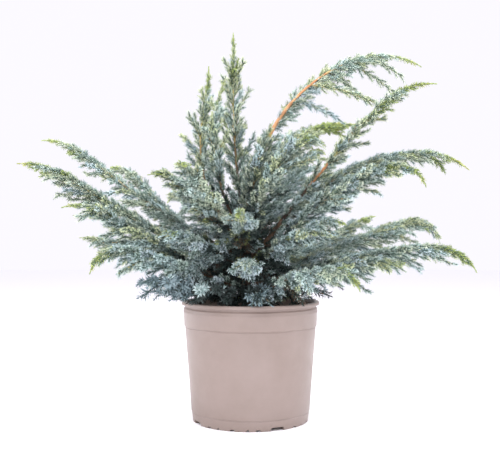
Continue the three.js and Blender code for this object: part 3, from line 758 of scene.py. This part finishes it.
# Lime and yellow at a limb's tip, painted shade near the trunk, where some shoots are dry brown or
# olive instead, and silver-blue to green between them, some in lit copies that are painted light and
# most low tufts in the dim tint of painted shade
def drawnTint(limb, out, rng):
    star, rule = limb["star"], tinting
    late = out - (1 - limb["lime"])
    if limb["lime"] and (late > 0 or (late > -rule["limeBefore"] and rng.random() < rule["limeChance"])):
        isYellow = late > rule["yellowFrom"] * limb["lime"] and rng.random() < rule["yellowChance"]
        return yellowTint if isYellow else limeTint
    # Near the trunk, painted shade: the dark shade tint, with some dry brown and olive shoots
    if rng.random() < 1 - out * limb["length"] / (rule["starLitAt"] if star else rule["litAt"]):
        roll = 1 if star else rng.random()
        if roll < rule["dryChance"]:
            return dryTint
        return oliveTint if roll < rule["dryChance"] + rule["oliveChance"] else paintedShadeTint
    # Most low tufts take the dim blue-grey tint, painted shade
    if star and rng.random() < rule["dimShadeShare"]:
        return dimShadeTint
    greener = rule["greener"] * (out - rule["greenerFrom"])
    tint = int(np.clip(round(limb["tint"] + greener + rng.normal(0, rule["jitter"])), 0, limeTint - 1))
    # Towards a limb's outer end more of its sprays take a lit copy: painted light
    isPaintedLight = rng.random() < limb["pale"] * np.interp(out, rule["paintedLightFrom"], (0, 1))
    return tint + firstPaintedLight if isPaintedLight else tint


# One tint for each spray: most of its side shoots take it on
def growCrown():
    rng = np.random.default_rng(finer["seed"])
    grown = []
    for limb in limbs.values():
        for shoot in filter(staysClear, limbShoots(limb, rng)):
            shoot["tint"] = drawnTint(limb, shoot["out"], rng)
            longSpur = shoot["kind"] == "spur" and shoot["length"] > sideRule["onSpursOver"]
            sides = sideShoots(shoot, limb["sideSize"], rng) if longSpur or shoot["kind"] == "main" else []
            for side in sides:
                ownTint = rng.random() > tinting["sameTint"]
                side["tint"] = drawnTint(limb, side["out"], rng) if ownTint else shoot["tint"]
            for piece in (shoot, *filter(staysClear, sides)):
                if limb["star"] and piece["kind"] in ("side", "spur"):
                    piece["kind"] = "star"
                piece["limb"] = limb["number"]
                grown.append(piece)
    return grown


crown = growCrown()
print("crown:", len(crown), "shoots,", round(sum(s["length"] for s in crown) / 1000), "metres")

# How each kind of shoot is clothed: needle length, how far the needles stand off at the shoot's
# base, middle and tip, the distance between whorls, the stem's radius, and the share left bare
kinds = {
    "main": dict(needle=6.4, open=(44, 42, 34), whorl=1.7, stem=2.0, bare=0.06),
    "spur": dict(needle=6.2, open=(50, 46, 36), whorl=1.55, stem=2.3, bare=0.02),
    "side": dict(needle=5.8, open=(50, 46, 36), whorl=1.55, stem=2.3, bare=0.02),
    "axis": dict(needle=5.6, open=(36, 32, 24), whorl=1.8, stem=1.6, bare=0.0),
    "end": dict(needle=5.4, open=(36, 30, 15), whorl=1.7, stem=1.4, bare=0.0),
    "star": dict(needle=9.6, open=(64, 58, 34), whorl=2.7, stem=1.3, bare=0.04),
}
needleForm = {
    "inWhorl": 3, "fewestWhorls": 3, "shadeThinned": 1.5, "firstWhorl": 0.7, "middleAt": 0.6,
    "stemTaper": 0.5, "sunk": 0.7, "sizeAtEnds": 0.78, "swell": 0.24, "swellPower": 0.8,
    "width": 0.3, "widestAt": 0.52, "fold": 0.4, "lengthJitter": 0.12, "openJitter": 6,
    "turnJitter": 14, "paleShare": 0.55, "roughness": 0.55, "specular": 0.35,
}


def inShade(tint):
    return np.isin(tint, (paintedShadeTint, dryTint))


def stacked(shoots):
    fields = {label: np.array([s[label] for s in shoots], float)
              for label in ("root", "direction", "curl", "length", "out", "limb")}
    fields["tint"] = np.array([s["tint"] for s in shoots], int)
    for label in ("needle", "whorl", "stem", "bare"):
        fields[label] = np.array([kinds[s["kind"]][label] for s in shoots], float)
    fields["whorl"] *= np.where(inShade(fields["tint"]), needleForm["shadeThinned"], 1)
    fields["open"] = np.radians(np.array([kinds[s["kind"]]["open"] for s in shoots], float))
    return fields


def alongShoots(s, owner, share):
    height = (share * s["length"][owner])[:, None]
    point = s["root"][owner] + s["direction"][owner] * height + s["curl"][owner] * height * share[:, None]
    along = unit(s["direction"][owner] + 2 * s["curl"][owner] * share[:, None])
    return point, along


# Each needle is a keeled awl: narrow at its base, widest near its middle, folded along the keel
def needleMesh(shoots, seed):
    form = needleForm
    rng = np.random.default_rng(seed)
    s = stacked(shoots)
    whorls = np.round(s["length"] * (1 - s["bare"]) / s["whorl"])
    whorls = np.maximum(form["fewestWhorls"], whorls).astype(int)
    owner = np.repeat(np.arange(len(shoots)), whorls)
    order = np.arange(len(owner)) - np.repeat(np.cumsum(whorls) - whorls, whorls)
    share = s["bare"][owner] + (1 - s["bare"][owner]) * (order + form["firstWhorl"]) / whorls[owner]
    point, along = alongShoots(s, owner, share)
    across, under = besides(along)
    startTurn = rng.random(len(shoots))[owner] * 360
    stem = s["stem"][owner] * (1 - form["stemTaper"] * share)
    base, middle, tip = s["open"][owner].T
    bend = form["middleAt"]
    wide = np.where(share < bend, base + (middle - base) * share / bend,
                    middle + (tip - middle) * (share - bend) / (1 - bend))
    swell = form["sizeAtEnds"] + form["swell"] * np.sin(math.pi * share ** form["swellPower"])
    apart = 360 / form["inWhorl"]
    points, faces, lookOf, count = [], [], [], len(owner)
    for leaf in range(form["inWhorl"]):
        turn = startTurn + apart / 2 * order + apart * leaf
        turn = np.radians(turn + rng.normal(0, form["turnJitter"], count))[:, None]
        outward = turnedTo(across, under, turn)
        opening = (wide + np.radians(rng.normal(0, form["openJitter"], count)))[:, None]
        direction = turnedTo(along, outward, opening)
        face = along * np.sin(opening) - outward * np.cos(opening)
        size = s["needle"][owner] * swell
        size = (size * (1 + rng.normal(0, form["lengthJitter"], count)))[:, None]
        root = point + outward * stem[:, None] * form["sunk"]
        half = np.cross(along, outward) * size * form["width"] / 2
        widest = root + direction * size * form["widestAt"]
        lift = face * size * form["width"] / 2 * form["fold"]
        end = root + direction * size
        keep = isClear(end)
        corners = np.stack([root, widest + half + lift, widest - half + lift, end], 1)[keep]
        first = (np.arange(len(corners)) * 4)[:, None] + sum(len(p) for p in points)
        tint = s["tint"][owner][keep] * 2 + (rng.random(len(corners)) > form["paleShare"])
        points.append(corners.reshape(-1, 3))
        faces += [first + np.array([0, 1, 3]), first + np.array([0, 3, 2])]
        lookOf += [tint, tint]
    return np.concatenate(points), np.concatenate(faces), np.concatenate(lookOf)


# The wood under the needles: three-sided twigs, and each limb's own stem
twigForm = {
    "marks": (0, 0.5, 0.97), "sides": 3, "taper": 0.65,
    "stemSides": 8, "stemRow": 5, "stemEnd": 0.985, "stemSwell": 1.12, "stemTaper": 0.4,
    "knuckles": ((0.05, 4.1), (0.04, 9.7)), "roughness": 0.7, "specular": 0.25,
}
woodShades = [
    (52, 40, 34), (74, 56, 43), (102, 84, 60), (166, 142, 98), (168, 156, 104), (140, 144, 90),
    (172, 122, 84), (192, 142, 98), (50, 66, 61), (80, 98, 89),
]
woodFade = {    # from the trunk to the limb's tip
    "orange": (1, 6, 7, 7, 6, 3, 4, 5), "rust": (0, 0, 1, 6, 4, 5, 5, 5),
    "shaded": (0, 0, 0, 1, 1, 2, 8, 8), "tan": (0, 1, 1, 2, 3, 4, 5, 5),
}
shadedSheath, litSheath = 8, 9    # the green sheath round a young shoot


def fadedWood(wood, share):
    shades = np.array(woodFade[wood])
    return shades[np.minimum((np.asarray(share) * len(shades)).astype(int), len(shades) - 1)]


def twigMesh(shoots):
    s = stacked(shoots)
    count, sides = len(shoots), twigForm["sides"]
    rows = np.array(twigForm["marks"])
    owner = np.repeat(np.arange(count), len(rows))
    share = np.tile(rows, count)
    point, along = alongShoots(s, owner, share)
    across, under = besides(along)
    radius = (s["stem"][owner] * (1 - twigForm["taper"] * share))[:, None]
    rings = np.stack([point + turnedTo(across, under, turn) * radius for turn in around(sides)], 1)
    first = (np.arange(count) * len(rows) * sides)[:, None]
    own = []
    for row in range(len(rows) - 1):
        for side in range(sides):
            a, b = row * sides + side, row * sides + (side + 1) % sides
            own += [(a, a + sides, b + sides), (a, b + sides, b)]
    last = (len(rows) - 1) * sides
    own += [(last, last + 2, last + 1), (0, 1, 2)]
    faces = (first[:, None] + np.array(own)).reshape(-1, 3)
    isMain = np.array([shoot["kind"] == "main" for shoot in shoots])
    isStar = np.array([limb["star"] for limb in limbs.values()])[s["limb"].astype(int)]
    sheath = np.where(inShade(s["tint"]), shadedSheath, litSheath)
    wood = np.where(isStar, fadedWood("shaded", s["out"]), fadedWood("tan", s["out"]))
    return rings.reshape(-1, 3), faces, np.repeat(np.where(isMain, wood, sheath), len(own))


def stemMesh(limb):
    form, start, length = twigForm, limb["bare"], limb["length"]
    rows = int((form["stemEnd"] - start) * length / form["stemRow"])
    share = np.linspace(start, form["stemEnd"], rows)
    centre, along, across, under = placeOn(limb, share)
    radius = limbRadius(length, share) * (form["stemSwell"] - form["stemTaper"] * share)
    knuckle = 1
    for depth, stretch in form["knuckles"]:
        knuckle = knuckle + depth * np.sin(share * length / stretch)
    points, faces = tube(centre, across, under, radius * knuckle, form["stemSides"])
    row = np.minimum(faces.min(1) // form["stemSides"], rows - 1)
    return points, faces, fadedWood(limb["wood"], share[row])


def plainLooks(shades, form):
    return [plainLook(name, shade, form["roughness"], form["specular"]) for name, shade in shades]


needleLooks = plainLooks([(f"needle{name.title()}{face}", shade) for name, upper, lower in tints
                          for face, shade in (("Upper", upper), ("Under", lower))], needleForm)
woodLooks = plainLooks([(f"twig{i}", shade) for i, shade in enumerate(woodShades)], twigForm)

# The limbs of each part of the crown, whose needles are joined in one piece
sectors = {
    "leaders": "leader_tall leader_left leader_middle left_upright left_inner",
    "rightHigh": "right_arch right_high arch_yellow arch_inner",
    "rightLow": "right_middle right_droop right_long right_under right_nod right_lower",
    "leftHigh": "left_high left_main left_second left_middle",
    "leftLow": "left_low left_nod left_skirt skirt_left",
    "front": "front_high front_left front_middle front_right front_low skirt_right right_inner",
    "backHigh": "right_back back_right back_middle back_left",
    "backLow": "back_low_right back_low_left back_low",
}
firstSectorSeed = 300


# A piece with only those of the looks that it uses
def dressedPiece(name, mesh, looks, smooth):
    points, faces, lookOf = mesh
    used = np.unique(lookOf).astype(int)
    return meshPiece(name, points, faces, [looks[i] for i in used], np.searchsorted(used, lookOf), smooth)


def makeSector(place, names, seed):
    numbers = {limbs[name]["number"] for name in names}
    own = [shoot for shoot in crown if shoot["limb"] in numbers]
    needles = dressedPiece(f"needles_{place}", needleMesh(own, seed), needleLooks, smooth=False)
    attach(needles, "root")
    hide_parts(*[f"mass_{name}" for name in names])
    wood = [twigMesh([shoot for shoot in own if shoot["kind"] not in ("axis", "end")])]
    wood += [stemMesh(limbs[name]) for name in names]
    twigs = dressedPiece(f"twigs_{place}", joined(wood), woodLooks, smooth=True)
    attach(twigs, "root")
    needleFaces, twigFaces = len(needles.data.polygons), len(twigs.data.polygons)
    print(f"{place}: {len(own)} shoots, {needleFaces} needle faces, {twigFaces} twig faces")
    return needleFaces + twigFaces


crownFaces = 0
for number, (place, names) in enumerate(sectors.items()):
    crownFaces += makeSector(place, names.split(), firstSectorSeed + number)
print("crown faces:", crownFaces)


# Bark: the trunk and the bare boughs, with flaking strips in the mesh
bark = {
    "sides": 20, "trunkSides": 28, "rowLength": 1.6, "fewestRows": 4, "belowSoil": 4,
    "roundedOver": 6, "rounding": 0.9, "stub": 0.03, "boughSwell": 1.06,
    "collar": 0.55, "collarLength": 9,
    "stripDepth": 0.09, "stripsRound": 2.2, "stripLength": 16, "trunkSeed": 5, "firstBoughSeed": 20,
    "shades": [("trunkBark", (72, 56, 48), (124, 98, 82)), ("boughBark", (58, 47, 40), (98, 78, 62)),
               ("archBark", (138, 102, 74), (192, 146, 106))], "specular": 0.2,
    "pattern": {"Scale": 170, "Stretch": (1, 1, 0.3), "Relief": 0.5, "Depth": 0.0006, "Dry": 0.9},
}


def barkRelief(share, length, radius, sides, seed):
    relief = np.zeros((len(share), sides))
    for i, s in enumerate(share):
        for j in range(sides):
            turn = 2 * math.pi * j / sides
            at = Vector((math.cos(turn) * bark["stripsRound"], math.sin(turn) * bark["stripsRound"],
                         s * length / bark["stripLength"] + seed))
            relief[i, j] = noise.fractal(at, 0.9, 2.1, 4)
    return radius[:, None] * (1 + bark["stripDepth"] * (relief - 0.2))    # the noise lies about 0.2


def trunkMesh():
    top, bottom = growth["trunkTop"], growth["soilTop"] - bark["belowSoil"]
    heights = np.linspace(bottom, top, int((top - bottom) / bark["rowLength"]))
    radius = trunkRadius(np.maximum(heights, growth["soilTop"]))
    over = bark["roundedOver"]
    radius = radius * (1 - bark["rounding"] * np.maximum(0, (heights - top + over) / over) ** 2)
    across = np.tile([1.0, 0, 0], (len(heights), 1))
    under = np.tile([0, 1.0, 0], (len(heights), 1))
    share, sides = (heights - bottom) / (top - bottom), bark["trunkSides"]
    rough = barkRelief(share, top - bottom, radius, sides, bark["trunkSeed"])
    points, faces = tube(trunkAxis(heights), across, under, rough, sides)
    return points, faces, np.zeros(len(faces))


# A bough, or only the stub in the trunk of a limb that is clothed from its start
def boughMesh(limb):
    end = limb["bare"] or bark["stub"]
    share = np.linspace(0, end, max(bark["fewestRows"], int(end * limb["length"] / bark["rowLength"])))
    centre, along, across, under = placeOn(limb, share)
    radius = limbRadius(limb["length"], share) * bark["boughSwell"]
    trunkHere = trunkRadius(min(limb["height"], growth["trunkTop"]))
    beyondTrunk = np.maximum(0, share * limb["length"] - trunkHere)
    radius = radius * (1 + bark["collar"] * np.exp(-beyondTrunk / bark["collarLength"]))
    seed = bark["firstBoughSeed"] + limb["number"]
    rough = barkRelief(share, limb["length"], radius, bark["sides"], seed)
    points, faces = tube(centre, across, under, rough, bark["sides"])
    return points, faces, np.full(len(faces), 2 if limb["wood"] == "orange" else 1)


def makeBark():
    points, faces, lookOf = joined([trunkMesh(), *[boughMesh(limb) for limb in limbs.values()]])
    looks = [mottledLook(name, dark, light, bark["pattern"], bark["specular"])
             for name, dark, light in bark["shades"]]
    return meshPiece("bark", points, faces, looks, lookOf)


barkPiece = makeBark()
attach(barkPiece, "root")
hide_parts("trunk", *[f"bough_{name}" for name, limb in limbs.items() if limb["bare"]])
print("bark:", len(barkPiece.data.polygons), "faces")


# Floor, light and camera
studio = {
    "background": (247, 245, 253), "ambient": 1.05, "floorShade": (251, 250, 253), "floorReach": 6000,
    "lights": [    # name, place, aim, width and height, power
        ("leftSoftbox", (-1.7, 0.1, 1.0), (0, 0, 0.35), (1.0, 1.6), 22),
        ("rightSoftbox", (1.7, 0.1, 1.0), (0, 0, 0.35), (1.0, 1.6), 22),
        ("overhead", (0.1, -0.3, 2.0), (0, 0, 0.3), (1.4, 1.0), 41),
        ("backSoftbox", (0, 1.8, 1.1), (0, 0, 0.4), (1.8, 1.2), 9),
        ("frontSoftbox", (-0.3, -1.9, 1.5), (0, 0, 0.4), (1.6, 1.0), 19),
        ("lowSoftbox", (0, -1.7, 0.3), (0, 0, 0.1), (2.2, 0.4), 7),
    ],
    "cameraPlace": (0, -1.621, 0.3577), "lens": 61.63, "sensor": 36, "shift": (-0.001, 0.009),
}


def areaLight(name, place, aim, size, power):
    lamp = bpy.data.lights.new(name, "AREA")
    lamp.shape = "RECTANGLE"
    lamp.size, lamp.size_y = size
    lamp.energy = power
    holder = bpy.data.objects.new(name, lamp)
    holder.location = place
    holder.rotation_euler = (Vector(aim) - Vector(place)).to_track_quat("-Z", "Y").to_euler()
    bpy.context.scene.collection.objects.link(holder)


def makeStudio():
    reach = studio["floorReach"]
    points = np.array([(x * reach, y * reach, 0) for x, y in ((-1, -1), (1, -1), (1, 1), (-1, 1))], float)
    paper = plainLook("floorPaper", studio["floorShade"], 0.9, 0.1)
    meshPiece("floor", points, np.array([[0, 1, 2, 3]]), [paper])
    world = bpy.data.worlds.new("studioWhite")
    world.use_nodes = True
    sky = world.node_tree.nodes["Background"]
    sky.inputs["Color"].default_value = rgba(studio["background"])
    sky.inputs["Strength"].default_value = studio["ambient"]
    bpy.context.scene.world = world
    for light in studio["lights"]:
        areaLight(*light)
    lens = bpy.data.cameras.new("photoCamera")
    lens.lens, lens.sensor_width = studio["lens"], studio["sensor"]
    lens.shift_x, lens.shift_y = studio["shift"]
    camera = bpy.data.objects.new("photoCamera", lens)
    camera.location = studio["cameraPlace"]
    camera.rotation_euler = (math.pi / 2, 0, 0)
    bpy.context.scene.collection.objects.link(camera)
    bpy.context.scene.camera = camera
    bpy.context.scene.view_settings.view_transform = "Standard"


makeStudio()
print("studio ready")
